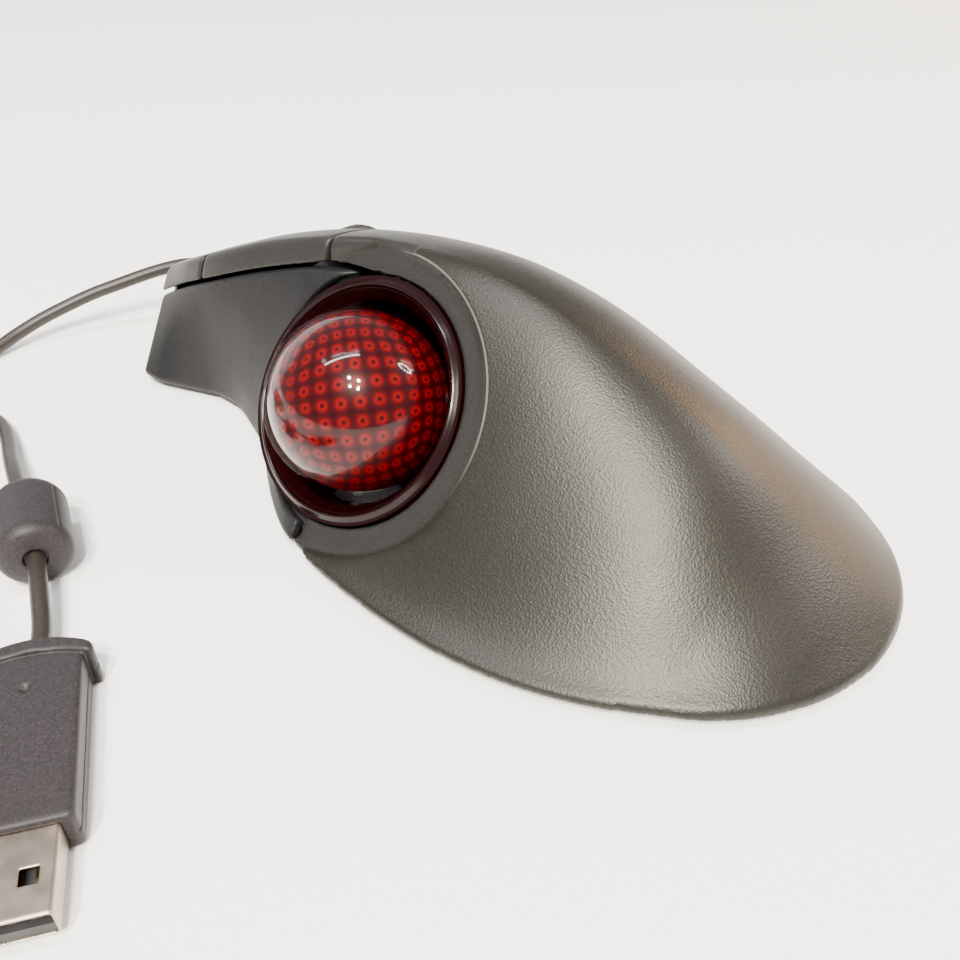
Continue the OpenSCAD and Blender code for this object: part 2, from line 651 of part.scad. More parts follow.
module plug_shell() {
    color([0.75, 0.72, 0.68])
    plug_frame() difference() {
        translate([plug_face - 8, -usb_w / 2, -usb_t / 2]) cube([8 + usb_len, usb_w, usb_t]);
        translate([plug_face - 7.7, -usb_w / 2 + 0.3, -usb_t / 2 + 0.3])
            cube([20 + usb_len, usb_w - 0.6, usb_t - 0.6]);
        for (y = [-3, 3], z = [-1, 1]) translate([plug_face + 6.5, y, z * usb_t / 2])
            cube([2, 2, 1], center = true);
    }
}
module plug_insulator() {
    color([0.9, 0.9, 0.88])
    plug_frame() translate([plug_face - 7.7, -usb_w / 2 + 0.3, -usb_t / 2 + 0.3])
        cube([7.3 + usb_len, usb_w - 0.6, 1.7]);
}
module plug_contacts() {
    color([0.85, 0.7, 0.3])
    plug_frame() for (y = [-3.5, -1, 1, 3.5])
        translate([plug_face, y - 0.5, -usb_t / 2 + 2]) cube([usb_len - 1.5, 1, 0.2]);
}

base_plate();
upper_case();
thumb_panel();
front_nose();
left_button();
right_button();
rubber_feet();
case_screws();
rating_plate();
ball_shell();
ball_core();
ball_cup();
cup_bearings();
cup_screws();
sensor_lens();
sensor_holder();
sensor_board();
sensor_chip();
sensor_led();
wheel_hub();
wheel_tyre();
wheel_axle();
wheel_carrier();
wheel_encoder();
carrier_pivot();
wheel_frame();
main_board();
board_screws();
left_switch();
left_plunger();
right_switch();
right_plunger();
middle_switch();
middle_plunger();
controller_chip();
crystal();
capacitors();
cord_connector();
sensor_ribbon();
inner_lead();
strain_relief();
cord_lead();
cord_coil();
cord_tie();
cord_tail();
ferrite_cover();
ferrite_core();
plug_lead();
plug_overmold();
plug_shell();
plug_insulator();
plug_contacts();
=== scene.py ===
import json
import math

import bmesh
import bpy
import numpy as np
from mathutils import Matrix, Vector


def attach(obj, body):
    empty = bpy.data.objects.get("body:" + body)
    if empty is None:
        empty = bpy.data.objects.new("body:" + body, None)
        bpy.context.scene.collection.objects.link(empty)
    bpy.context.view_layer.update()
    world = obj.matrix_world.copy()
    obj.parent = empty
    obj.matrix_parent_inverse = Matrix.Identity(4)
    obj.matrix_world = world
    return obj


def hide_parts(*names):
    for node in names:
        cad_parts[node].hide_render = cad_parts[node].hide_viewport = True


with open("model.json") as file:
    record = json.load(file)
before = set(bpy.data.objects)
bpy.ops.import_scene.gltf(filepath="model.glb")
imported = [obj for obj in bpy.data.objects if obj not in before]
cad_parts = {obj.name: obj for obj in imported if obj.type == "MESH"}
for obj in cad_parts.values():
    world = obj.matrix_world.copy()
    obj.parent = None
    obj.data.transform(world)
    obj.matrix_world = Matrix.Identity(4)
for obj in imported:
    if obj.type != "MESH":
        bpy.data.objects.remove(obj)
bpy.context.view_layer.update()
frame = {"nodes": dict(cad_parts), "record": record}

MM = 0.001  # shapes are given in millimetres, the camera and the lamps in metres
FAR_INSIDE = -50.0  # stands for "no cut here" in the distance functions

# ---------------------------------------------------------------- camera
cam = bpy.data.cameras.new("camera")
cam.lens = 36.0
cam.sensor_width = 36.0
cam.clip_start = 0.01
cam_ob = bpy.data.objects.new("camera", cam)
bpy.context.collection.objects.link(cam_ob)
cam_ob.location = (-0.119, -0.099, 0.112)
cam_ob.rotation_euler = (math.radians(53), 0, math.radians(-50.27))
bpy.context.scene.camera = cam_ob


# ---------------------------------------------------------------- helpers
def link(name, mesh):
    ob = bpy.data.objects.new(name, mesh)
    bpy.context.collection.objects.link(ob)
    return ob


def from_bmesh(name, bm, smooth=False):
    mesh = bpy.data.meshes.new(name)
    bm.to_mesh(mesh)
    bm.free()
    if smooth:
        for p in mesh.polygons:
            p.use_smooth = True
    return link(name, mesh)


def smooth_path(points, step=1.2, fine_step=0.4):
    """Catmull-Rom curve through the points, resampled evenly; returns it with its length."""
    p = np.array(points, float)
    p = np.vstack([2 * p[0] - p[1], p, 2 * p[-1] - p[-2]])
    out = []
    for i in range(1, len(p) - 2):
        n = max(2, int(np.linalg.norm(p[i + 1] - p[i]) / fine_step))
        for t in np.linspace(0, 1, n, endpoint=False):
            a, b, c, d = p[i - 1], p[i], p[i + 1], p[i + 2]
            out.append(0.5 * (2 * b + (c - a) * t + (2 * a - 5 * b + 4 * c - d) * t**2
                              + (3 * b - a - 3 * c + d) * t**3))
    out.append(p[-2])
    out = np.array(out)
    s = np.concatenate([[0], np.cumsum(np.linalg.norm(np.diff(out, axis=0), axis=1))])
    n = int(s[-1] / step)
    q = np.linspace(0, s[-1], n + 1)
    return np.column_stack([np.interp(q, s, out[:, k]) for k in range(3)]), s[-1]


# ---------------------------------------------------------------- cable
CORD_D = 3.0
EXIT = (5, 89, 14)
LEAD = [EXIT, (4.4, 92, 13.9), (2.4, 95.5, 13.5), (-1, 98.5, 12.8), (-5, 101.3, 11.8),
        (-10, 104.2, 10.5), (-16, 107.4, 9), (-22, 110, 7.2), (-28, 112, 5.4), (-34, 113, 3.6),
        (-40, 113, 2.1), (-46, 113, 1.5), (-51, 115, 1.5), (-55.5, 118.5, 1.5),
        (-58.5, 123.5, 1.5)]
TAIL = [(-78, 96.5, 1.5), (-71, 96.6, 1.5), (-64, 95.8, 1.5), (-58, 92.6, 1.5), (-55, 87, 1.5),
        (-55.6, 80.5, 1.9), (-58, 74, 2.8), (-60.8, 67.5, 4), (-63.4, 61, 5.3), (-65.8, 54.5, 6.1),
        (-67.3, 48.2, 6.3)]
PLUG_LEAD = [(-74.7, 32.9, 6.3), (-76.8, 28.8, 6.1), (-79.2, 24.4, 5.4), (-82, 19.6, 4.5),
             (-85.3, 15.1, 4)]
THROUGH_FERRITE = [(-69.2, 44.2, 6.3), (-71, 40.55, 6.3), (-72.9, 36.7, 6.3)]
COIL = (-78.0, 118.0)
COIL_START = LEAD[-1]
COIL_TURNS = 14
COIL_STEPS = 20  # points per turn
CHANGE_AT = 0.7  # share of a turn after which the cable moves over to its next slot
# radius from the coil's centre and height of the cable's centre line, turn by turn
SLOTS = [(19.6, 1.5), (16.5, 1.5), (13.5, 1.5), (13.5, 4.5), (16.5, 4.5), (19.5, 4.5), (22.5, 4.5),
         (22.5, 7.5), (19.5, 7.5), (16.5, 7.5), (13.5, 7.5), (16.5, 10.4), (19.5, 10.4),
         (22.5, 10.2), (25.4, 6.0), (21.8, 1.5)]


def coil_points():
    start = math.atan2(COIL_START[1] - COIL[1], COIL_START[0] - COIL[0])
    total = COIL_TURNS * 2 * math.pi + (math.radians(270) - start)
    count = int(total / (2 * math.pi) * COIL_STEPS)
    pts = []
    for i in range(1, count):
        a = total * i / count
        turn = a / (2 * math.pi)
        k = min(int(turn), len(SLOTS) - 2)
        f = min(1.0, max(0.0, (turn - k - CHANGE_AT) / (1 - CHANGE_AT)))
        f = f * f * (3 - 2 * f)
        r = SLOTS[k][0] * (1 - f) + SLOTS[k + 1][0] * f
        z = SLOTS[k][1] * (1 - f) + SLOTS[k + 1][1] * f
        r += 0.12 * math.sin(3.1 * a + k)
        pts.append((COIL[0] + r * math.cos(start + a), COIL[1] + r * math.sin(start + a), z))
    return pts


route = LEAD + coil_points() + TAIL + THROUGH_FERRITE + PLUG_LEAD
path, cord_len = smooth_path(route)
curve = bpy.data.curves.new("cable", "CURVE")
curve.dimensions = "3D"
curve.bevel_depth = 1.0  # so that a point's radius is the cable's radius in metres
curve.bevel_resolution = 4
spline = curve.splines.new("POLY")
spline.points.add(len(path) - 1)
for i, p in enumerate(path):
    spline.points[i].co = (p[0] * MM, p[1] * MM, p[2] * MM, 1)
    spline.points[i].radius = CORD_D / 2 * MM
spline.use_smooth = True
cable = link("cable", curve)


# ---------------------------------------------------------------- solids from distance functions
def nets(func, lo, hi, step):
    """Surface nets of func < 0 on a regular grid, then each vertex is pulled onto the surface."""
    corner = [(i, j, k) for i in (0, 1) for j in (0, 1) for k in (0, 1)]
    ax = [np.arange(lo[k] - step, hi[k] + 1.5 * step, step) for k in range(3)]
    x, y, z = ax[0][:, None, None], ax[1][None, :, None], ax[2][None, None, :]
    f = np.broadcast_to(func(x, y, z), (len(ax[0]), len(ax[1]), len(ax[2]))).astype(np.float32)
    ins = f < 0
    nx, ny, nz = f.shape
    cnt = sum(ins[i:nx - 1 + i, j:ny - 1 + j, k:nz - 1 + k].astype(np.int8) for i, j, k in corner)
    act = (cnt > 0) & (cnt < 8)
    idx = -np.ones(act.shape, np.int32)
    cells = np.argwhere(act)
    idx[act] = np.arange(len(cells))
    acc = np.zeros((len(cells), 3))
    num = np.zeros(len(cells))
    ci, cj, ck = cells.T
    val = {q: f[ci + q[0], cj + q[1], ck + q[2]] for q in corner}
    for a in corner:
        for d in range(3):
            if a[d]:
                continue
            b = list(a)
            b[d] = 1
            b = tuple(b)
            va, vb = val[a], val[b]
            cross = (va < 0) != (vb < 0)
            t = np.where(cross, va / np.where(va == vb, 1, va - vb), 0)
            for m in range(3):
                acc[:, m] += np.where(cross, a[m] + (t if m == d else 0), 0)
            num += cross
    v = cells + acc / np.maximum(num, 1)[:, None]
    v = np.column_stack([ax[k][0] + v[:, k] * step for k in range(3)])
    quads = []
    for d in range(3):
        e1, e2 = [(1, 2), (2, 0), (0, 1)][d]
        lo_s = [slice(1, -1)] * 3
        lo_s[d] = slice(0, -1)
        hi_s = [slice(1, -1)] * 3
        hi_s[d] = slice(1, None)
        a, b = ins[tuple(lo_s)], ins[tuple(hi_s)]
        for flip, mask in ((False, a & ~b), (True, ~a & b)):
            p = np.argwhere(mask)
            if not len(p):
                continue
            off = np.ones(3, int)
            off[d] = 0
            p = p + off
            s1 = np.zeros(3, int)
            s1[e1] = 1
            s2 = np.zeros(3, int)
            s2[e2] = 1
            ids = [idx[tuple((p - o).T)] for o in (s1 + s2, s2, 0 * s1, s1)]
            q = np.column_stack(ids)
            quads.append(q[:, ::-1] if flip else q)
    quads = np.vstack(quads)
    quads = quads[(quads >= 0).all(axis=1)]
    h = 0.05 * step
    for _ in range(3):
        p0 = func(v[:, 0], v[:, 1], v[:, 2])
        g = np.column_stack([func(*(v + h * np.eye(3)[k]).T) - func(*(v - h * np.eye(3)[k]).T)
                             for k in range(3)]) / (2 * h)
        gg = (g * g).sum(1)
        mv = -(p0 / np.maximum(gg, 0.25))[:, None] * g
        ln = np.linalg.norm(mv, axis=1)
        mv *= np.minimum(1, 0.5 * step / np.maximum(ln, 1e-9))[:, None]
        v = v + mv
    return v, quads


def relaxed(v, quads):
    """Moves each vertex four tenths of the way to the mean of its neighbours."""
    n = len(v)
    total = np.zeros((n, 3))
    count = np.zeros(n)
    for a in range(4):
        i, j = quads[:, a], quads[:, (a + 1) % 4]
        for k in range(3):
            total[:, k] += np.bincount(i, v[j, k], n) + np.bincount(j, v[i, k], n)
        count += np.bincount(i, minlength=n) + np.bincount(j, minlength=n)
    return 0.6 * v + 0.4 * total / np.maximum(count, 1)[:, None]


def solid(name, func, lo, hi, step, place=None):
    v, q = nets(func, lo, hi, step)
    v = relaxed(v, q)
    if place is not None:
        v = place(v)
    mesh = bpy.data.meshes.new(name)
    mesh.vertices.add(len(v))
    mesh.vertices.foreach_set("co", (v * MM).astype(np.float32).ravel())
    mesh.loops.add(len(q) * 4)
    mesh.loops.foreach_set("vertex_index", q.astype(np.int32).ravel())
    mesh.polygons.add(len(q))
    mesh.polygons.foreach_set("loop_start", np.arange(0, len(q) * 4, 4, dtype=np.int32))
    mesh.polygons.foreach_set("use_smooth", np.ones(len(q), bool))
    mesh.update(calc_edges=True)
    mesh.validate()
    return link(name, mesh)


def smax(a, b, k):
    """Maximum of two distances, which cuts one solid by another, rounded over the width k."""
    h = np.maximum(k - np.abs(a - b), 0) / k
    return np.maximum(a, b) + h * h * k * 0.25


def smin(a, b, k):
    return -smax(-a, -b, k)


# ---------------------------------------------------------------- body surface, as the CAD has it
# each table has rows of (y, value), read from tail to nose
LEFT_OUT = [(-82, -6), (-80, -13), (-75, -22.5), (-60, -34.7), (-45, -41.8), (-30, -45),
            (-15, -45.2), (-4, -44.5), (5, -42.7), (11, -41), (19, -36.8), (27, -31.4), (33, -27),
            (43, -22.3), (52, -19.3), (58, -19.4), (66, -22.2), (72, -24.2), (78, -24.2)]
RIGHT_OUT = [(-82, 10), (-78, 17.5), (-66, 29.8), (-50, 36.5), (-30, 41.3), (-5, 44), (20, 43.5),
             (45, 41), (65, 37), (81, 31)]
SKIN_L = [(-82, -6), (-80, -13), (-75, -22.5), (-60, -34.7), (-45, -41.8), (-30, -45), (-10, -45),
          (10, -42), (30, -36), (50, -28), (81, -22)]
RIDGE_X = [(-82, 3), (-60, 0), (-40, -3), (-15, -5), (0, -6), (11, -7), (26, -10), (40, -12),
           (58, -14.5), (76, -13), (81, -12)]
RIDGE_Z = [(-82, 3), (-77, 7), (-66, 15), (-50, 27.5), (-35, 35.5), (-20, 42), (-5, 45.2),
           (11, 45), (26, 43.3), (40, 39.6), (58, 32.5), (67, 28.4), (76, 24.2), (81, 22)]
# exponents that shape a cross-section on the left (L) and on the right (R) of the ridge
LA = [(-82, 2), (-60, 1.8), (-40, 1.6), (-17, 1.5), (10, 1.6), (81, 2)]
LB = [(-82, 1), (-60, 1.3), (-40, 1.5), (-17, 1.6), (10, 1.5), (81, 1)]
RA = [(-82, 1.9), (-50, 1.7), (-20, 1.7), (10, 1.7), (40, 1.8), (81, 2.2)]
RB = [(-82, 0.95), (-50, 1), (-20, 0.9), (10, 0.8), (40, 0.8), (81, 0.7)]
# crease between strip and deck, and the strip's lower edge: rows of (y, x, z)
CREASE = [(8, -8.3, 44.1), (14, -8.8, 44), (26, -11, 43.3), (40, -13.2, 39.8), (58, -16, 32.2),
          (67, -15.6, 28.2), (76, -14.2, 24), (90, -11, 17)]
EDGE = [(8, -11.2, 40.3), (14, -11.6, 40), (26, -13, 39), (40, -15.2, 35), (58, -17.3, 28),
        (67, -16.6, 24), (76, -15.4, 19.4), (90, -13, 12)]
BALL = np.array([-23.0, 8.0, 22.0])
TILT = math.radians(38)
AXIS = np.array([-math.cos(TILT), 0, math.sin(TILT)])
MAX_UP = np.array([math.sin(TILT), 0, math.cos(TILT)])
RIM_S = 2.0
CUT_R = 26.6  # outer radius of the flat band round the cup
CUP_HOLE_R = 22.35
SHELL = 2.2
TAIL_Y = -82.0
FOOT_Z = 3.0  # height at which the skin meets its outline
STEP_Y = 8.0  # the thumb bay starts here


def table(tab, k=1):
    """Smooth cubic through column k of the rows against y, as a function of y."""
    ys = np.array([r[0] for r in tab], float)
    vs = np.array([r[k] for r in tab], float)
    h = np.diff(ys)
    d = np.diff(vs) / h
    m = np.empty(len(vs))
    m[0], m[-1] = d[0], d[-1]
    m[1:-1] = (d[:-1] * h[1:] + d[1:] * h[:-1]) / (h[1:] + h[:-1])

    def f(y):
        c = np.clip(y, ys[0], ys[-1])
        i = np.clip(np.searchsorted(ys, c, side="right") - 1, 0, len(h) - 1)
        u = (c - ys[i]) / h[i]
        v = 1 - u
        return ((1 + 2 * u) * v * v * vs[i] + u * v * v * h[i] * m[i]
                + u * u * (3 - 2 * u) * vs[i + 1] - u * u * v * h[i] * m[i + 1])
    return f


t_left, t_right, t_skin = table(LEFT_OUT), table(RIGHT_OUT), table(SKIN_L)
t_rx, t_rz = table(RIDGE_X), table(RIDGE_Z)
t_la, t_lb, t_ra, t_rb = table(LA), table(LB), table(RA), table(RB)
t_cx, t_cz, t_ex, t_ez = table(CREASE), table(CREASE, 2), table(EDGE), table(EDGE, 2)


def height(x, y):
    """Height of the skin over (x, y), falling steeply outside the outline."""
    x0, xl, xr = t_rx(y), t_skin(y), t_right(y)
    t = np.where(x < x0, (x0 - x) / (x0 - xl), (x - x0) / (xr - x0))
    a = np.where(x < x0, t_la(y), t_ra(y))
    b = np.where(x < x0, t_lb(y), t_rb(y))
    inside = np.maximum(1 - np.power(np.clip(t, 0, 1), a), 0)
    return FOOT_Z + (t_rz(y) - FOOT_Z) * np.power(inside, b) - np.maximum(t - 1, 0) * 200


def skin(x, y, z):
    e = 0.3
    h = height(x, y)
    hx = (height(x + e, y) - height(x - e, y)) / (2 * e)
    hy = (height(x, y + e) - height(x, y - e)) / (2 * e)
    top = (z - h) / np.sqrt(1 + np.minimum(hx * hx + hy * hy, 60.0))
    side = np.maximum(x - t_right(y), t_skin(y) - x) * 0.8
    nose = np.sqrt((x - 5) ** 2 + (y + 9.0) ** 2) - 90
    round_end = np.sqrt((x + 0.75) ** 2 + (y + 45.3) ** 2) - 36.7
    tail = np.where(y < -56, round_end - 1.6 * np.clip((y + 70) / 13, 0, 1), FAR_INSIDE)
    d = smax(top, smax(side, np.maximum(TAIL_Y - y, tail), 2.0), 1.2)
    return smax(d, np.where(y > 0, nose, FAR_INSIDE), 2.2)


def halfplane(x, z, x0, z0, x1, z1):
    """Distance from the line, positive on its left going up."""
    dx, dz = x1 - x0, z1 - z0
    ln = np.sqrt(dx * dx + dz * dz)
    return -((x - x0) * dz - (z - z0) * dx) / ln


def strip_plane(x, y, z):
    return halfplane(x, z, t_ex(y), t_ez(y), t_cx(y), t_cz(y))


def panel_plane(x, y, z):
    return halfplane(x, z, t_left(y), FOOT_Z, t_ex(y), t_ez(y))


def cup_coords(x, y, z):
    """Distance from the cup's axis, distance along it, and the two parts across it."""
    dx, dy, dz = x - BALL[0], y - BALL[1], z - BALL[2]
    s = dx * AXIS[0] + dz * AXIS[2]
    m = dx * MAX_UP[0] + dz * MAX_UP[2]
    return np.sqrt(dy * dy + m * m), s, m, dy


def bay_plane(x, y, z):
    d = np.maximum(t_left(y) - x, panel_plane(x, y, z))
    return np.maximum(d, strip_plane(x, y, z))


def body(x, y, z, inset=0.0):
    """The closed body, or its inside when inset is the wall's thickness."""
    d = skin(x, y, z) + inset
    wall = bay_plane(x, y, z) + inset
    wall = np.where(y > STEP_Y - inset, wall, FAR_INSIDE)
    d = smax(d, wall, 1.3)
    rho, s, m, dy = cup_coords(x, y, z)
    low = np.clip((-m - 1) / 15, 0, 1)
    ahead = np.clip((dy - 1) / 9, 0, 1)
    k = 0.45 + 2.8 * np.maximum(low * low * (3 - 2 * low), ahead * ahead * (3 - 2 * ahead))
    cut = smin(CUT_R + inset - rho, s - RIM_S + inset, 1.4)
    return smax(d, cut, k)


def shell(x, y, z):
    """The body hollowed out, with the round opening for the cup."""
    outside = body(x, y, z)
    inside = body(x, y, z, SHELL)
    hole = CUP_HOLE_R - cup_coords(x, y, z)[0]
    return smax(smax(outside, -inside, 0.5), hole, 0.6)


def cuts(d, *planes, k=0.45):
    """Cuts the solid d along every plane, with edges rounded by k."""
    for p in planes:
        d = smax(d, p, k)
    return d


# where the shells end; the spaces between them are the seams
CASE_BOTTOM = 1.7
DECK_REAR, DECK_FRONT = 25.55, 59.2
BUTTON_REAR, BUTTON_FRONT = 26.05, 58.75
NOSE_REAR = 59.7
LEFT_STOP, RIGHT_STOP = 7.75, 8.25
HALF_SEAM = 0.5
STRIP_GAP = 3.4
SLOT_AT, SLOT_HALF = (8, 36.8), (4.4, 14.0)
CORD_HOLE_R = 2.6
PANEL_T = 2.3
PANEL_REAR, PANEL_FRONT = 8.4, 77.6
PANEL_HOLE_R = 23.2


def seam_z(y):
    """Height of the seam under the right button."""
    return 22 - 0.2126 * (y - 25.8)


def room(x, y, z):
    """Keeps the panel's room clear: the side strip stops at its lower edge."""
    left = panel_plane(x, y, z) + STRIP_GAP
    left = np.maximum(left, t_left(y) + STRIP_GAP - x)
    under = t_ez(y) - z
    return np.where(y > STEP_Y, np.minimum(left, under), FAR_INSIDE)


def slot_d(x, y, z):
    """The wheel's slot, open from below to above."""
    return -np.maximum(np.abs(x - SLOT_AT[0]) - SLOT_HALF[0], np.abs(y - SLOT_AT[1]) - SLOT_HALF[1])


def f_case(x, y, z):
    under = np.maximum(z - (seam_z(y) - HALF_SEAM), 16 - x)
    deck = np.minimum(y - DECK_REAR, under)
    d = cuts(shell(x, y, z), CASE_BOTTOM - z, deck, y - DECK_FRONT, room(x, y, z))
    return smax(d, slot_d(x, y, z), 0.4)


def f_left(x, y, z):
    return cuts(shell(x, y, z), BUTTON_REAR - y, y - BUTTON_FRONT, x - LEFT_STOP,
                slot_d(x, y, z), room(x, y, z))


def f_right(x, y, z):
    return cuts(shell(x, y, z), BUTTON_REAR - y, y - BUTTON_FRONT, RIGHT_STOP - x,
                slot_d(x, y, z), seam_z(y) + HALF_SEAM - z)


def f_nose(x, y, z):
    d = cuts(shell(x, y, z), NOSE_REAR - y, CASE_BOTTOM - z, room(x, y, z))
    hole = CORD_HOLE_R - np.sqrt((x - EXIT[0]) ** 2 + (z - EXIT[2]) ** 2)
    return smax(d, np.where(y > 70, hole, FAR_INSIDE), 0.4)


def f_panel(x, y, z):
    p = np.maximum(panel_plane(x, y, z), t_left(y) - x)
    d = smax(p, -(p + PANEL_T), 0.7)
    d = smax(d, (z - (t_ez(y) - 0.9)) * 0.85, 0.7)
    d = smax(d, PANEL_REAR - y, 0.5)
    d = smax(d, y - PANEL_FRONT, 1.6)
    d = smax(d, CASE_BOTTOM - z, 1.0)
    return smax(d, PANEL_HOLE_R - cup_coords(x, y, z)[0], 0.8)


GRID, FINE_GRID = 0.5, 0.4
case_ob = solid("palm_shell", f_case, (-47, -84, 0), (46, 60.5, 47), GRID)
left_ob = solid("left_button_cap", f_left, (-24, 24, 14), (9, 60.5, 46), FINE_GRID)
right_ob = solid("right_button_cap", f_right, (7, 24, 12), (46, 60.5, 44), FINE_GRID)
nose_ob = solid("nose_cap", f_nose, (-28, 58, 0), (42, 83, 34), FINE_GRID)
panel_ob = solid("thumb_bay_panel", f_panel, (-45, 7, 0), (-8, 79, 42), FINE_GRID)
for ob, node, bd in ((case_ob, "upper_case", "base"), (left_ob, "left_button", "left_button_body"),
                     (right_ob, "right_button", "right_button_body"),
                     (nose_ob, "front_nose", "base"), (panel_ob, "thumb_panel", "base")):
    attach(ob, bd)
    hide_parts(node)


# ---------------------------------------------------------------- lathe
def lathe(name, profile, place, segments, closed=False):
    """Turns (radius, height) points about the local Z axis; place puts a local point in the scene."""
    bm = bmesh.new()
    rings = []
    for r, s in profile:
        ring = []
        for j in range(segments):
            a = 2 * math.pi * j / segments
            ring.append(bm.verts.new(place(r * math.cos(a), r * math.sin(a), s)))
        rings.append(ring)
    pairs = list(zip(rings[:-1], rings[1:]))
    if closed:
        pairs.append((rings[-1], rings[0]))
    for a, b in pairs:
        for j in range(segments):
            bm.faces.new((a[j], a[(j + 1) % segments], b[(j + 1) % segments], b[j]))
    if not closed:
        for ring, turn in ((rings[0], 1), (rings[-1], 0)):
            bm.faces.new(ring[::-1] if turn else ring)
    bmesh.ops.recalc_face_normals(bm, faces=bm.faces)
    return from_bmesh(name, bm, smooth=True)


def in_cup(a, b, s):
    p = BALL + a * np.array([0, 1.0, 0]) + b * MAX_UP + s * AXIS
    return Vector(p * MM)


rim_profile = [(22.06, -1.2), (22.08, 0.9), (22.0, 1.35), (21.75, 1.75), (21.3, 2.1), (20.85, 2.42),
               (20.62, 2.62), (20.45, 2.68), (20.28, 2.6), (20.1, 2.35), (19.85, 1.95), (19.5, 1.5),
               (19.15, 1.0), (18.75, 0.4), (18.45, -0.3), (18.25, -1.2), (19.5, -1.6), (21.3, -1.6)]
rim = lathe("cup_rim", rim_profile, in_cup, 160, closed=True)
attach(rim, "base")


# ---------------------------------------------------------------- ball
def ball_piece(name, r):
    bm = bmesh.new()
    bmesh.ops.create_uvsphere(bm, u_segments=128, v_segments=64, radius=r * MM)
    bmesh.ops.translate(bm, verts=bm.verts, vec=Vector(BALL * MM))
    return from_bmesh(name, bm, smooth=True)


ball_in = ball_piece("ball_pattern_core", 15.9)
ball_out = ball_piece("ball_clear_layer", 17.0)
for ob in (ball_in, ball_out):
    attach(ob, "ball")
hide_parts("ball_shell")
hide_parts("ball_core")


# ---------------------------------------------------------------- wheel
WHEEL_AT = np.array([8.0, 38.0, 24.7])
TYRE_R, TYRE_BORE, TYRE_HALF = 11.15, 8.6, 3.5
TREAD_HALF, TREAD_DEPTH, TREAD_RIBS = 2.6, 0.16, 40


def f_tyre(x, y, z):
    r = np.sqrt(y * y + z * z)
    notch = TREAD_DEPTH * np.clip(np.cos(np.arctan2(z, y) * TREAD_RIBS) * 3, -1, 1)
    crown = 0.035 * x * x
    d = np.maximum(r - (TYRE_R + notch * (np.abs(x) < TREAD_HALF) - crown), TYRE_BORE - r)
    return smax(d, np.abs(x) - TYRE_HALF, 0.9)


tyre = solid("wheel_tread", f_tyre, (-4, -12, -12), (4, 12, 12), 0.25,
             place=lambda v: v + WHEEL_AT)
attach(tyre, "wheel")
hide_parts("wheel_tyre")

# ---------------------------------------------------------------- strain relief
relief_profile = [(0.2, 77.85), (3.9, 77.85), (4.0, 78.0), (4.0, 78.7), (2.5, 78.8), (2.5, 81.2),
                  (3.1, 81.4), (3.2, 81.7), (3.1, 82.0)]
for i in range(5):
    y0 = 82.0 + i * 1.3
    r0 = 2.75 - i * 0.13
    relief_profile += [(r0, y0 + 0.1), (r0, y0 + 0.8), (r0 - 0.45, y0 + 0.95), (r0 - 0.45, y0 + 1.2)]
relief_profile += [(2.0, 88.6), (1.9, 88.9), (1.62, 89.0), (0.2, 89.0)]
relief = lathe("strain_relief_boot", relief_profile,
               lambda a, b, s: Vector((EXIT[0] + a, s, EXIT[2] + b)) * MM, 48)
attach(relief, "base")
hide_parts("strain_relief")


# ---------------------------------------------------------------- ferrite
def laid_down(origin, degrees):
    """Lays a piece that is built along x at origin, turned about the vertical."""
    turn = math.radians(degrees)
    ahead = np.array([math.cos(turn), math.sin(turn), 0])
    aside = np.array([-math.sin(turn), math.cos(turn), 0])
    up = np.array([0, 0, 1.0])
    return lambda v: np.array(origin) + v[:, :1] * ahead + v[:, 1:2] * aside + v[:, 2:3] * up


FERRITE_R, FERRITE_HALF = 6.3, 8.5


def f_ferrite(x, y, z):
    r = np.sqrt(y * y + z * z)
    d = smax(r - FERRITE_R, np.abs(x) - FERRITE_HALF + 0.012 * r * r, 2.4)
    rim_line = np.sqrt((r - 4.7) ** 2 + (np.abs(x) - 8.35) ** 2) - 0.22
    d = smax(d, -rim_line, 0.2)
    seam = np.maximum(np.abs(z * 0.78 - y * 0.62) - 0.1, 6.12 - r)
    mouth = np.maximum(r - 1.95, 7.7 - np.abs(x))
    return smax(smax(d, -seam, 0.2), -mouth, 0.3)


ferrite = solid("ferrite_moulding", f_ferrite, (-9.5, -7.2, -7.2), (9.5, 7.2, 7.2), 0.25,
                place=laid_down(THROUGH_FERRITE[1], -116))
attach(ferrite, "base")
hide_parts("ferrite_cover")

# ---------------------------------------------------------------- plug
TUBE_X, TUBE_HALF = 34.0, (10.0, 6.0, 2.25)
WINDOW_X, WINDOW_Y, WINDOW_HALF = 38.4, 2.9, 1.15
MOULD_END = 32.0


def rbox(x, y, z, cx, hx, hy, hz, r):
    """Box centred at cx on the x axis, with half sizes and rounded edges."""
    qx, qy, qz = np.abs(x - cx) - hx + r, np.abs(y) - hy + r, np.abs(z) - hz + r
    out = np.sqrt(np.maximum(qx, 0) ** 2 + np.maximum(qy, 0) ** 2 + np.maximum(qz, 0) ** 2)
    return out + np.minimum(np.maximum(qx, np.maximum(qy, qz)), 0) - r


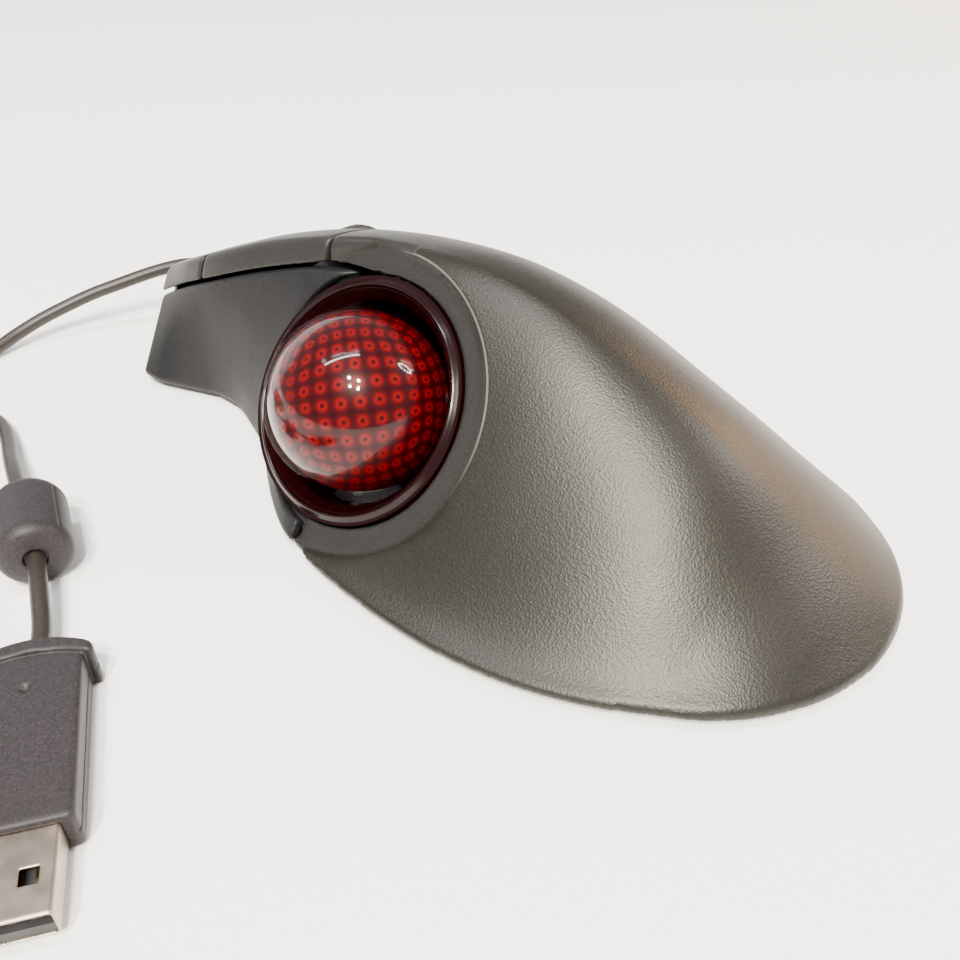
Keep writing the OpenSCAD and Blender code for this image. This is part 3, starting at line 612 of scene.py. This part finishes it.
def f_mould(x, y, z):
    hy = 7.35 + 0.02 * np.clip(x - 3, 0, 30)
    hz = 3.72 - 0.008 * np.clip(x - 3, 0, 30)
    main = smax(smax(np.abs(y) - hy, np.abs(z) - hz, 1.1), np.maximum(1.5 - x, x - MOULD_END), 0.9)
    lead_in = 2.0 + 2.4 * np.clip(x + 1.2, 0, 3)
    bow = (y / 8.8) ** 2
    collar = smax(smax(np.abs(y) - 8.7, np.abs(z) - np.minimum(4.0, lead_in), 1.2),
                  np.maximum(-0.5 + 2.6 * bow - x, x - 2.3 - 2.1 * bow), 0.8)
    gap = np.maximum(np.abs(x - 2.55 - 2.1 * bow) - 0.28, 3.2 - np.abs(z))
    main = smax(main, -gap, 0.25)
    nose = smax(np.sqrt(y * y + z * z) - 2.4 - 0.5 * np.clip(x + 1.5, 0, 3),
                np.maximum(-1.6 - x, x - 2), 0.5)
    d = smin(smin(main, collar, 0.25), nose, 1.0)
    side = np.maximum(np.maximum(np.abs(z + 0.3) - 0.14, hy - 0.35 - np.abs(y)), 4.5 - x)
    d = smax(d, -side, 0.2)
    side = np.maximum(np.maximum(np.abs(z + 0.3) - 0.12, 8.4 - np.abs(y)), x - 4.6)
    d = smax(d, -side, 0.2)
    dimple = np.sqrt((x - 9.2) ** 2 + y ** 2 + (z - 4.0) ** 2) - 0.95
    d = smax(d, -dimple, 0.2)
    cut = rbox(x, y, z, 30.0, 6.0, 6.02, 2.27, 0.5)
    return smax(d, -cut, 0.2)


def f_usb(x, y, z):
    outer = rbox(x, y, z, TUBE_X, *TUBE_HALF, 0.55)
    inner = rbox(x, y, z, 35.0, 10.6, 5.68, 1.93, 0.3)
    d = smax(outer, -inner, 0.08)
    for sy in (-WINDOW_Y, WINDOW_Y):
        for sz in (-TUBE_HALF[2], TUBE_HALF[2]):
            win = np.maximum(np.maximum(np.abs(x - WINDOW_X), np.abs(y - sy)) - WINDOW_HALF,
                             np.abs(z - sz) - 0.7)
            d = smax(d, -win, 0.15)
    seam = np.maximum(np.maximum(np.abs(y) - 0.09, np.abs(z + TUBE_HALF[2]) - 0.5), 30.0 - x)
    return smax(d, -seam, 0.05)


at_plug = laid_down(PLUG_LEAD[-1], -125.2)
mould = solid("plug_moulding", f_mould, (-2, -9.2, -4.5), (33, 9.2, 4.5), 0.28, place=at_plug)
usb = solid("plug_tube", f_usb, (23, -6.5, -2.8), (45, 6.5, 2.8), 0.16, place=at_plug)
for ob, node in ((mould, "plug_overmold"), (usb, "plug_shell")):
    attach(ob, "base")
    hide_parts(node)

# ---------------------------------------------------------------- tie round the coil
TIE_SIDES = 48
TIE_HALF_X, TIE_HALF_Z, TIE_HALF_W, TIE_T = 6.9, 6.3, 2.2, 0.5
TIE_X, TIE_Z = COIL[0] - 18.6, 6.6
TIE_LOWEST = 0.1
tie_path = []
for i in range(TIE_SIDES):
    a = 2 * math.pi * i / TIE_SIDES
    ca, sa = math.cos(a), math.sin(a)
    k = (abs(ca) ** 5 + abs(sa) ** 5) ** (-0.2)
    tie_path.append((TIE_HALF_X * k * ca, TIE_HALF_Z * k * sa))
bm = bmesh.new()
rings = []
for out in (0.0, TIE_T):
    for w in (-TIE_HALF_W, TIE_HALF_W):
        ring = []
        for a, b in tie_path:
            x = TIE_X + (a + math.copysign(out, a))
            z = max(TIE_LOWEST, TIE_Z + b + math.copysign(out, b))
            ring.append(bm.verts.new(Vector((x, COIL[1] + w, z)) * MM))
        rings.append(ring)
for a, b in ((0, 1), (1, 3), (3, 2), (2, 0)):
    for j in range(TIE_SIDES):
        k = (j + 1) % TIE_SIDES
        bm.faces.new((rings[a][j], rings[a][k], rings[b][k], rings[b][j]))
bmesh.ops.recalc_face_normals(bm, faces=bm.faces)
tie = from_bmesh("coil_strap", bm)
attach(tie, "base")
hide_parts("cord_tie")

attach(cable, "base")
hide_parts("cord_lead", "cord_coil", "cord_tail", "plug_lead")


# ---------------------------------------------------------------- materials
def new_node(nt, kind, values=None, inputs=None):
    """Adds a node; inputs are constants, or sockets that are linked, by the socket's name or index."""
    node = nt.nodes.new("ShaderNode" + kind)
    for key, value in (values or {}).items():
        setattr(node, key, value)
    for key, value in (inputs or {}).items():
        if isinstance(value, bpy.types.NodeSocket):
            nt.links.new(value, node.inputs[key])
        else:
            node.inputs[key].default_value = value
    return node


def noise(nt, where, scale, detail):
    node = new_node(nt, "TexNoise", inputs={"Vector": where, "Scale": scale, "Detail": detail})
    return node.outputs["Fac"]


def remap(nt, value, from_min, from_max, to_min=0.0, to_max=1.0, kind="LINEAR"):
    node = new_node(nt, "MapRange", {"interpolation_type": kind},
                    {"Value": value, "From Min": from_min, "From Max": from_max,
                     "To Min": to_min, "To Max": to_max})
    return node.outputs["Result"]


def calc(nt, kind, *values):
    node = new_node(nt, "Math", {"operation": kind}, dict(enumerate(values)))
    return node.outputs[0]


def blend(nt, amount, first, second, kind="MIX"):
    """Mixes two colours."""
    node = new_node(nt, "Mix", {"data_type": "RGBA", "blend_type": kind},
                    {0: amount, 6: first, 7: second})
    return node.outputs[2]


def along_axes(nt, axes):
    """The shaded point's distance from the ball's centre along each axis."""
    where = new_node(nt, "TexCoord").outputs["Object"]
    offset = new_node(nt, "VectorMath", {"operation": "SUBTRACT"}, {0: where, 1: tuple(BALL * MM)})
    return [new_node(nt, "VectorMath", {"operation": "DOT_PRODUCT"},
                     {0: offset.outputs["Vector"], 1: tuple(float(q) for q in axis)}).outputs["Value"]
            for axis in axes]


def new_material(name):
    m = bpy.data.materials.new(name)
    m.use_nodes = True
    return m, m.node_tree, m.node_tree.nodes["Principled BSDF"]


def material(name, base, rough=0.5, metallic=0.0, grain=(), tint=0.0, tint_scale=300.0, rough_var=0.0,
             coat=0.0, coat_rough=0.1, spec=0.5, speckle=None):
    """One coated or moulded surface.

    grain: (kind, scale per metre, height in mm) triples added together as bump.
    tint and rough_var: how far a cloudy noise moves the colour's brightness and the roughness.
    speckle: (colour, scale, the noise level above which it shows).
    """
    m, nt, shader = new_material(name)
    for key, value in (("Base Color", (*base, 1)), ("Roughness", rough), ("Metallic", metallic),
                       ("Specular IOR Level", spec), ("Coat Weight", coat),
                       ("Coat Roughness", coat_rough)):
        shader.inputs[key].default_value = value
    where = new_node(nt, "TexCoord").outputs["Object"]
    colour = None
    if tint:
        scale = remap(nt, noise(nt, where, tint_scale, 6), 0.3, 0.7, 1 - tint, 1 + tint)
        scaled = new_node(nt, "VectorMath", {"operation": "SCALE"}, {0: base, "Scale": scale})
        colour = scaled.outputs["Vector"]
    if speckle:
        flake, flake_scale, level = speckle
        amount = remap(nt, noise(nt, where, flake_scale, 2), level, level + 0.06)
        colour = blend(nt, amount, colour or (*base, 1), (*flake, 1))
    if colour:
        nt.links.new(colour, shader.inputs["Base Color"])
    if rough_var:
        varied = remap(nt, noise(nt, where, 60, 8), 0.25, 0.75,
                       max(0.02, rough - rough_var), min(1, rough + rough_var))
        nt.links.new(varied, shader.inputs["Roughness"])
    total = None
    for kind, scale, high in grain:
        if kind == "cell":
            cell = new_node(nt, "TexVoronoi", {"feature": "SMOOTH_F1"},
                            {"Vector": where, "Scale": scale, "Smoothness": 0.6})
            out = cell.outputs["Distance"]
        else:
            out = noise(nt, where, scale, 3)
        layer = calc(nt, "MULTIPLY", out, high)
        total = layer if total is None else calc(nt, "ADD", total, layer)
    if total is not None:
        bump = new_node(nt, "Bump", inputs={"Strength": 1.0, "Distance": MM, "Height": total})
        nt.links.new(bump.outputs["Normal"], shader.inputs["Normal"])
    return m


# colour of the painted highlight along the edge round the cup
LIP_HIGHLIGHT_COLOUR = (0.10, 0.094, 0.082)
LIP_R = 26.85


def painted_lip_highlight(m):
    """A thin painted highlight along the edge round the cup, standing in for the lamps' reflection
    there, fading out towards its lower left.
    """
    nt = m.node_tree

    def fade(value, full, none):
        return remap(nt, value, full, none, 1.0, 0.0, "SMOOTHSTEP")

    up, ahead = along_axes(nt, (MAX_UP, (0, 1, 0)))
    square = calc(nt, "ADD", calc(nt, "MULTIPLY", up, up), calc(nt, "MULTIPLY", ahead, ahead))
    off = calc(nt, "ABSOLUTE", calc(nt, "SUBTRACT", calc(nt, "SQRT", square), LIP_R * MM))
    edge = fade(off, 0.06 * MM, 0.26 * MM)
    low = calc(nt, "SUBTRACT", 1.0, fade(up, -9 * MM, 8 * MM))
    rear = fade(ahead, -4 * MM, 4 * MM)
    mask = calc(nt, "MULTIPLY", edge, calc(nt, "MULTIPLY", low, rear))
    base = nt.nodes["Principled BSDF"].inputs["Base Color"]
    # lighter base colour on the edge: a painted highlight
    highlighted_colour = blend(nt, mask, base.links[0].from_socket, (*LIP_HIGHLIGHT_COLOUR, 1))
    nt.links.new(highlighted_colour, base)


def paint(ob, m):
    ob.data.materials.clear()
    ob.data.materials.append(m)


m_palm = material("palm_coating", (0.0100, 0.0088, 0.0062), 0.40, 0.05,
                  [("cell", 2500, 0.036), ("noise", 5000, 0.026)], tint=0.3, tint_scale=2200,
                  rough_var=0.03, spec=0.36)
m_button = material("button_coating", (0.0145, 0.0138, 0.0132), 0.44, 0.05, [("noise", 3500, 0.014)],
                    tint=0.3, tint_scale=3200, rough_var=0.04, spec=0.3)
m_panel = material("panel_satin", (0.0085, 0.0085, 0.0095), 0.48, 0.0, [("noise", 3200, 0.012)],
                   tint=0.25, tint_scale=900, rough_var=0.06, spec=0.22)
m_base = material("base_plastic", (0.012, 0.012, 0.012), 0.6, 0.0, [("noise", 2500, 0.03)], tint=0.2)
m_rim = material("rim_red", (0.006, 0.0002, 0.0005), 0.22, 0.0, [("noise", 900, 0.004)], tint=0.1,
                 coat=0.12, coat_rough=0.1, spec=0.2)
m_cable = material("cable_jacket", (0.017, 0.0135, 0.0115), 0.42, 0.0, [("noise", 2500, 0.012)],
                   tint=0.2, tint_scale=1500, speckle=((0.07, 0.06, 0.06), 2600, 0.7), spec=0.4)
m_mould = material("plug_jacket", (0.0185, 0.0155, 0.0175), 0.5, 0.0, [("noise", 2200, 0.02)], tint=0.25,
                   tint_scale=1800, speckle=((0.045, 0.038, 0.045), 4800, 0.62), spec=0.25)
m_tin = material("tinned_steel", (0.36, 0.30, 0.25), 0.36, 1.0, [("noise", 500, 0.015)], tint=0.3,
                 tint_scale=300, rough_var=0.14)
m_tyre = material("tread_rubber", (0.015, 0.015, 0.015), 0.55, 0.0, [("noise", 3000, 0.012)], tint=0.2)
m_strap = material("strap_black", (0.015, 0.015, 0.015), 0.6, 0.0, [("noise", 2500, 0.05)], tint=0.3)


# the direction in which the rows of rings run, and the middle of the face seen in the photo
RING_U = (0.745, -0.664, 0.05)
RING_W = (-0.566, -0.631, 0.531)
RINGS_PER_FACE = 8
RING_STOPS = [(0.0, (0.008, 0.0002, 0.0006)), (0.09, (0.01, 0.0002, 0.0006)),
              (0.14, (0.115, 0.0001, 0.0008)), (0.22, (0.13, 0.0001, 0.0009)),
              (0.30, (0.055, 0.0002, 0.001)), (0.35, (0.085, 0.0002, 0.0012)),
              (0.40, (0.024, 0.0002, 0.0010)), (1.0, (0.024, 0.0002, 0.0010))]
SPOT_STOPS = [(0.0, (0.2, 0.2, 0.2)), (0.05, (0.25, 0.25, 0.25)), (0.08, (1, 1, 1)),
              (0.13, (0.35, 0.35, 0.35)), (0.18, (1, 1, 1)), (1.0, (1, 1, 1))]


def ball_material():
    """Rows of rings laid out on six faces round the ball, with small dark spots between them."""
    m, nt, shader = new_material("ball_pattern")

    def pick(flag, yes, no):
        return new_node(nt, "Mix", inputs={0: flag, 2: no, 3: yes}).outputs[0]

    def length(a, b):
        return calc(nt, "SQRT", calc(nt, "ADD", calc(nt, "MULTIPLY", a, a),
                                     calc(nt, "MULTIPLY", b, b)))

    def ramp(value, stops):
        node = new_node(nt, "ValToRGB", inputs={"Fac": value})
        e = node.color_ramp.elements
        e[0].position, e[0].color = stops[0][0], (*stops[0][1], 1)
        e[1].position, e[1].color = stops[-1][0], (*stops[-1][1], 1)
        for pos, colour in stops[1:-1]:
            e.new(pos).color = (*colour, 1)
        return node.outputs["Color"]

    w = np.array(RING_W) / np.linalg.norm(RING_W)
    u = np.array(RING_U) - np.dot(RING_U, w) * w
    u = u / np.linalg.norm(u)
    a, b, c = along_axes(nt, (u, np.cross(w, u), w))
    size_a, size_b, size_c = (calc(nt, "ABSOLUTE", q) for q in (a, b, c))
    big = calc(nt, "MAXIMUM", calc(nt, "MAXIMUM", size_a, size_b), size_c)
    on_a = calc(nt, "GREATER_THAN", size_a, calc(nt, "MAXIMUM", size_b, size_c))
    on_c = calc(nt, "GREATER_THAN", size_c, calc(nt, "MAXIMUM", size_a, size_b))
    to_ring, to_spot = [], []
    for part in (pick(on_a, b, a), pick(on_c, b, c)):
        at = calc(nt, "MULTIPLY", calc(nt, "ARCTAN2", part, big), RINGS_PER_FACE / (math.pi / 2))
        off = calc(nt, "SUBTRACT", at, calc(nt, "ROUND", at))
        to_ring.append(off)
        to_spot.append(calc(nt, "SUBTRACT", calc(nt, "ABSOLUTE", off), 0.5))
    colour = blend(nt, 1.0, ramp(length(*to_ring), RING_STOPS), ramp(length(*to_spot), SPOT_STOPS),
                   "MULTIPLY")
    nt.links.new(colour, shader.inputs["Base Color"])
    for key, value in (("Roughness", 0.3), ("Specular IOR Level", 0.05), ("Coat Weight", 0.8),
                       ("Coat Roughness", 0.015), ("Coat IOR", 1.33)):
        shader.inputs[key].default_value = value
    return m


m_ball = ball_material()
m_clear = material("ball_clear", (0.05, 0.001, 0.003), 0.03, 0.0, tint=0.05, coat=1.0, coat_rough=0.02)
m_clear.node_tree.nodes["Principled BSDF"].inputs["Alpha"].default_value = 0.04

paint(case_ob, m_palm)
m_band = m_button.copy()
m_band.name = "band_coating"
# both coatings get the painted highlight along the cup's edge
painted_lip_highlight(m_palm)
painted_lip_highlight(m_band)
case_ob.data.materials.append(m_band)
BAND_R = 26.9
points = np.empty(len(case_ob.data.vertices) * 3, np.float32)
case_ob.data.vertices.foreach_get("co", points)
points = points.reshape(-1, 3) / MM
corners = np.empty(len(case_ob.data.loops), np.int32)
case_ob.data.loops.foreach_get("vertex_index", corners)
mid = points[corners.reshape(-1, 4)].mean(axis=1)
rho, s = cup_coords(*mid.T)[:2]
on_band = (rho < BAND_R) & (s > -8)
on_strip = (mid[:, 1] > STEP_Y) & (strip_plane(*mid.T) > -1.0)
case_ob.data.polygons.foreach_set("material_index", (on_band | on_strip).astype(np.int32))
for ob in (left_ob, right_ob, nose_ob):
    paint(ob, m_button)
paint(panel_ob, m_panel)
paint(rim, m_rim)
paint(ball_in, m_ball)
paint(ball_out, m_clear)
paint(tyre, m_tyre)
for ob in (relief, ferrite, mould):
    paint(ob, m_mould)
paint(cable, m_cable)
paint(usb, m_tin)
paint(tie, m_strap)

looks = {
    "base_black": m_base,
    "foot_rubber": material("foot_rubber", (0.02, 0.02, 0.02), 0.75, 0, [("noise", 2500, 0.05)],
                            tint=0.2),
    "steel": material("screw_steel", (0.45, 0.45, 0.46), 0.32, 1.0, [("noise", 1200, 0.02)], tint=0.12,
                      rough_var=0.08),
    "label": material("label_foil", (0.6, 0.6, 0.6), 0.4, 0.3, [("noise", 1500, 0.01)], tint=0.05),
    "cup_red": m_rim,
    "bearing": material("bearing_white", (0.8, 0.8, 0.77), 0.15, 0, [("noise", 900, 0.003)], tint=0.04),
    "lens": material("lens_clear", (0.8, 0.85, 0.9), 0.06, 0, [("noise", 500, 0.002)], tint=0.03),
    "black_plastic": material("chip_black", (0.018, 0.018, 0.02), 0.55, 0, [("noise", 3000, 0.02)],
                              tint=0.2),
    "led": material("led_red", (0.5, 0.02, 0.02), 0.15, 0, tint=0.1, coat=0.6),
    "board": material("board_green", (0.006, 0.04, 0.018), 0.35, 0, [("noise", 900, 0.02)], tint=0.25,
                      tint_scale=500, coat=0.4),
    "hub": material("hub_black", (0.02, 0.02, 0.02), 0.3, 0, [("noise", 2000, 0.01)], tint=0.2),
    "white_plastic": material("white_plastic", (0.75, 0.75, 0.72), 0.45, 0, [("noise", 2000, 0.015)],
                              tint=0.05),
    "encoder": material("encoder_green", (0.02, 0.03, 0.025), 0.45, 0, [("noise", 2000, 0.02)],
                        tint=0.1),
    "can": material("crystal_can", (0.65, 0.65, 0.66), 0.28, 1.0, [("noise", 900, 0.01)], tint=0.05),
    "capacitor": material("capacitor_sleeve", (0.03, 0.03, 0.14), 0.3, 0, tint=0.15, coat=0.4),
    "ribbon": material("ribbon_grey", (0.6, 0.6, 0.57), 0.5, 0, [("noise", 1200, 0.02)], tint=0.08),
    "cable": m_cable,
    "ferrite": material("ferrite_black", (0.03, 0.03, 0.033), 0.6, 0, [("noise", 1500, 0.03)], tint=0.2),
    "contact": material("contact_gold", (0.8, 0.58, 0.25), 0.25, 1.0, [("noise", 900, 0.01)], tint=0.1),
}
slot_of = {s["node"]: s["material_slot"] for s in frame["record"]["subparts"]}
for node, ob in frame["nodes"].items():
    # the plug's insulator takes the black plastic look instead of its slot's white
    look = looks.get("black_plastic" if node == "plug_insulator" else slot_of.get(node))
    if look and ob.type == "MESH":
        for i in range(len(ob.material_slots)):
            ob.material_slots[i].material = look
        if not ob.material_slots:
            ob.data.materials.append(look)

# ---------------------------------------------------------------- floor and light
bm = bmesh.new()
bmesh.ops.create_grid(bm, x_segments=8, y_segments=8, size=3.0)
floor = from_bmesh("floor", bm)
fmat, _, fb = new_material("floor_white")
fb.inputs["Base Color"].default_value = (0.93, 0.93, 0.93, 1)
fb.inputs["Roughness"].default_value = 0.9
floor.data.materials.append(fmat)

world = bpy.data.worlds.new("studio")
bpy.context.scene.world = world
world.use_nodes = True
bg = world.node_tree.nodes["Background"]
bg.inputs["Color"].default_value = (1, 1, 1, 1)
bg.inputs["Strength"].default_value = 0.7


AIM = Vector((-0.01, 0, 0.02))
LAMP_COLOUR, RING_COLOUR, LOW_COLOUR = (1.0, 0.93, 0.80), (1.0, 0.96, 0.9), (1.0, 0.6, 0.32)
RING_LAMPS = 12


def area(name, direction, distance, size, power, colour=(1, 1, 1)):
    """A rectangular lamp that looks at AIM from the given direction and distance."""
    lamp = bpy.data.lights.new(name, "AREA")
    lamp.shape = "RECTANGLE"
    lamp.size, lamp.size_y = size
    lamp.energy = power
    lamp.color = colour
    ob = link(name, lamp)
    ob.location = Vector(direction).normalized() * distance + AIM
    ob.rotation_euler = (AIM - ob.location).to_track_quat("-Z", "Y").to_euler()


# the four points, the bar and the ring that the ball mirrors
for du, dv in ((-1, -1), (-1, 1), (1, -1), (1, 1)):
    area("lamp", (-0.46 + 0.08 * du - 0.03 * dv, -0.36 + 0.07 * du + 0.09 * dv, 0.79), 1.5,
         (0.085, 0.085), 22.0, LAMP_COLOUR)
area("tube", (-0.21, 0.18, 0.96), 1.3, (0.06, 0.9), 14.0)
for i in range(RING_LAMPS):
    a = 2 * math.pi * i / RING_LAMPS
    side = 0.05 * math.cos(a)
    rise = 0.13 * math.sin(a)
    area("ring_lamp", (0.60 + 0.66 * side - 0.45 * rise, -0.53 + 0.75 * side + 0.40 * rise,
                       0.60 + 0.80 * rise), 1.3, (0.05, 0.05), 0.8, RING_COLOUR)
area("back_card", (0.28, 0.95, 0.2), 1.0, (1.2, 0.35), 2.5)
area("warm_low", (0.85, -0.3, 0.3), 1.0, (0.5, 0.3), 6.0, LOW_COLOUR)
